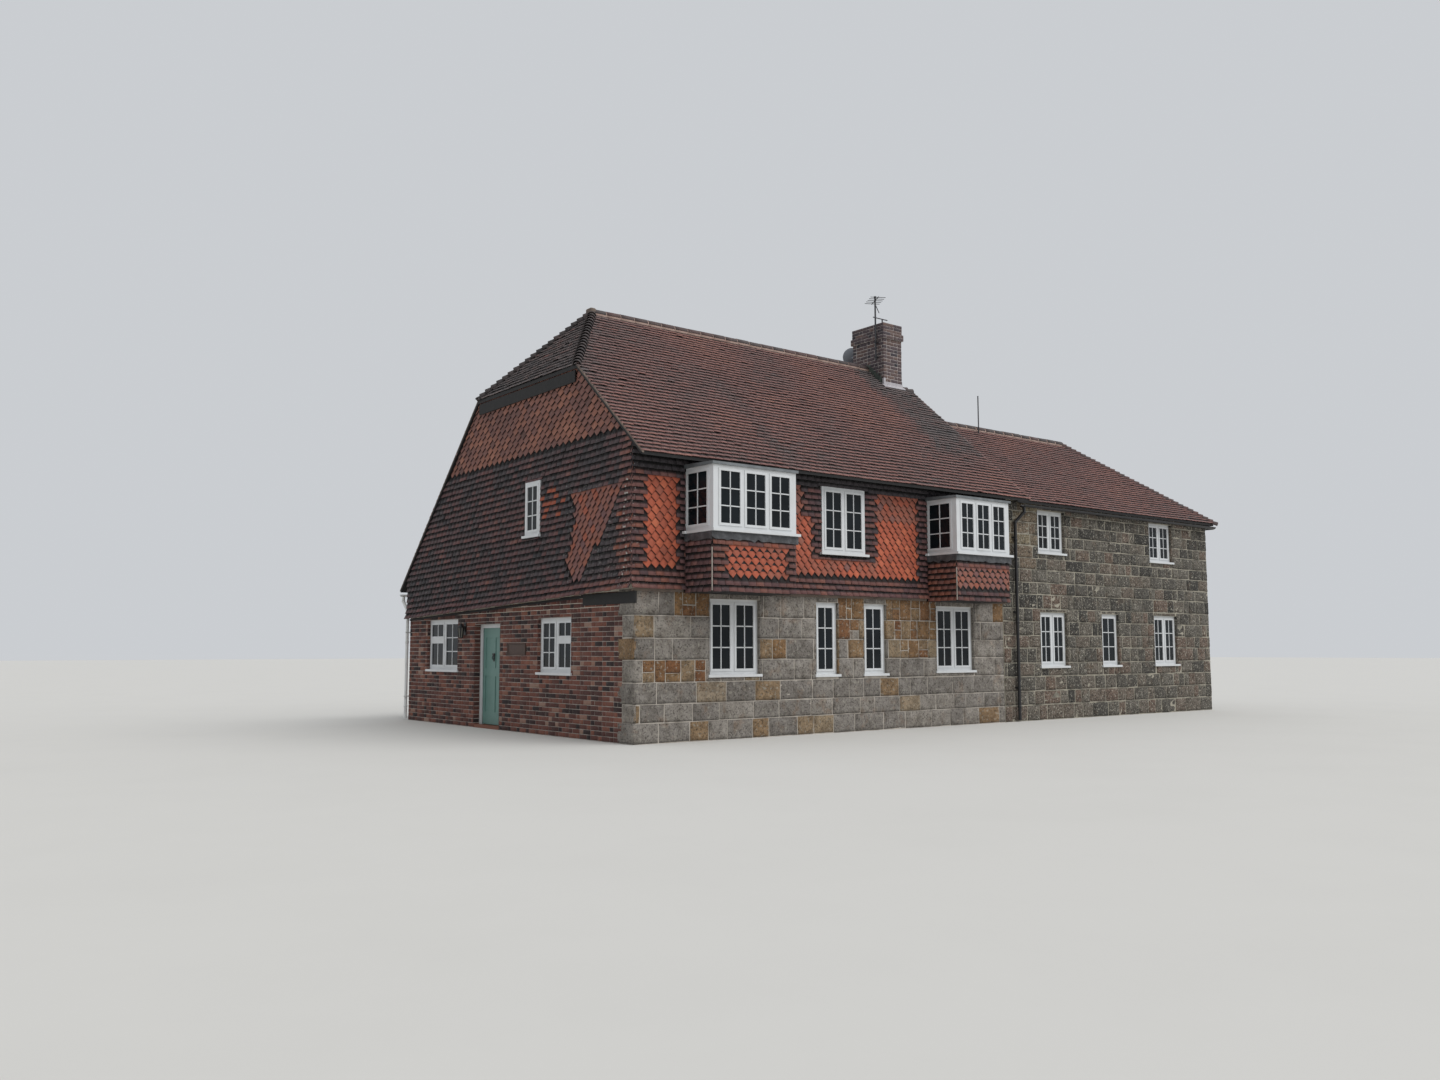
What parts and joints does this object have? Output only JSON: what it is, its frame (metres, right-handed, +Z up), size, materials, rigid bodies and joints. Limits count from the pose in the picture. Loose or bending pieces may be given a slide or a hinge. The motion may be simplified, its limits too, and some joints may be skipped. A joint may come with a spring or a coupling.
{
  "type": "tile-hung farmhouse with a stone wing",
  "caption": "Old farmhouse: tile-hung upper floor, half-hipped roof sweeping low at the back, oriel windows, brick chimney, lower hipped stone wing, side door that opens.",
  "frame": {"origin": "centre of the house's bounding box, on the level of its lowest ground", "axes": "+X along the front from the door gable to the wing's end, +Y from the front to the rear, +Z up"},
  "size_m": [17.99, 10.13, 9.82],
  "materials": {
    "stone_ashlar": "squared sandstone blocks in pale lime mortar",
    "stone_wing": "weathered coursed sandstone with lichen",
    "brick": "old red-brown brick in lime mortar",
    "chimney_brick": "weathered dark brick with lichen",
    "plastered_frame": "timber frame with limewashed plaster inside",
    "hung_tiles": "hand-made clay tiles, orange-red and plum",
    "roof_tiles": "weathered brown clay roof tiles",
    "ridge_tiles": "half-round clay ridge tiles in pale mortar",
    "floor_brick": "worn stone paving",
    "floor_boards": "oak boards on joists",
    "tarred_wood": "black-stained board",
    "white_joinery": "white painted joinery, satin",
    "window_glass": "clear glass, dark against the rooms",
    "lead": "dull grey sheet lead",
    "mint_paint": "mint green painted boards, satin",
    "black_iron": "black painted iron",
    "white_plastic": "white moulded plastic",
    "aerial_metal": "weathered aluminium rod",
    "dish_grey": "grey painted steel"
  },
  "bodies": {
    "house": {"main_front_wall": "stone_ashlar", "wing_front_wall": "stone_wing", "wing_end_wall": "stone_wing", "wing_rear_wall": "stone_wing", "gable_wall_front": "brick", "gable_wall_rear": "brick", "gable_wall_over_door": "brick", "main_rear_wall": "brick", "dividing_wall": "brick", "chimney_stack": "chimney_brick", "chimney_cap": "chimney_brick", "front_upper_wall": "plastered_frame", "gable_upper_wall": "plastered_frame", "front_tile_hanging": "hung_tiles", "gable_tile_hanging": "hung_tiles", "oriel_aprons": "hung_tiles", "main_front_slope": "roof_tiles", "main_rear_slope": "roof_tiles", "left_half_hip": "roof_tiles", "right_half_hip": "roof_tiles", "wing_front_slope": "roof_tiles", "wing_rear_slope": "roof_tiles", "wing_hip_slope": "roof_tiles", "hip_tiles": "roof_tiles", "ridge_tiles": "ridge_tiles", "ground_floors": "floor_brick", "first_floors": "floor_boards", "half_hip_fascia": "tarred_wood", "name_board": "tarred_wood", "oriel_frames": "white_joinery", "main_window_frames": "white_joinery", "wing_window_frames": "white_joinery", "gable_window_frames": "white_joinery", "rear_window_frames": "white_joinery", "door_frame": "white_joinery", "oriel_glass": "window_glass", "main_window_glass": "window_glass", "wing_window_glass": "window_glass", "gable_and_rear_glass": "window_glass", "oriel_roofs": "lead", "chimney_flashing": "lead", "wing_gutters": "black_iron", "black_downpipe": "black_iron", "wall_lantern": "black_iron", "rear_gutter": "white_plastic", "white_downpipe": "white_plastic", "roof_aerials": "aerial_metal", "satellite_dish": "dish_grey"},
    "door": {"front_door": "mint_paint"}
  },
  "joints": [
    {"name": "door_hinge", "type": "hinge", "parent": "house", "child": "door", "pos_m": [-8.603, 1.443, 0.07], "axis": [0, 0, 1], "range_deg": [0, 90]}
  ]
}
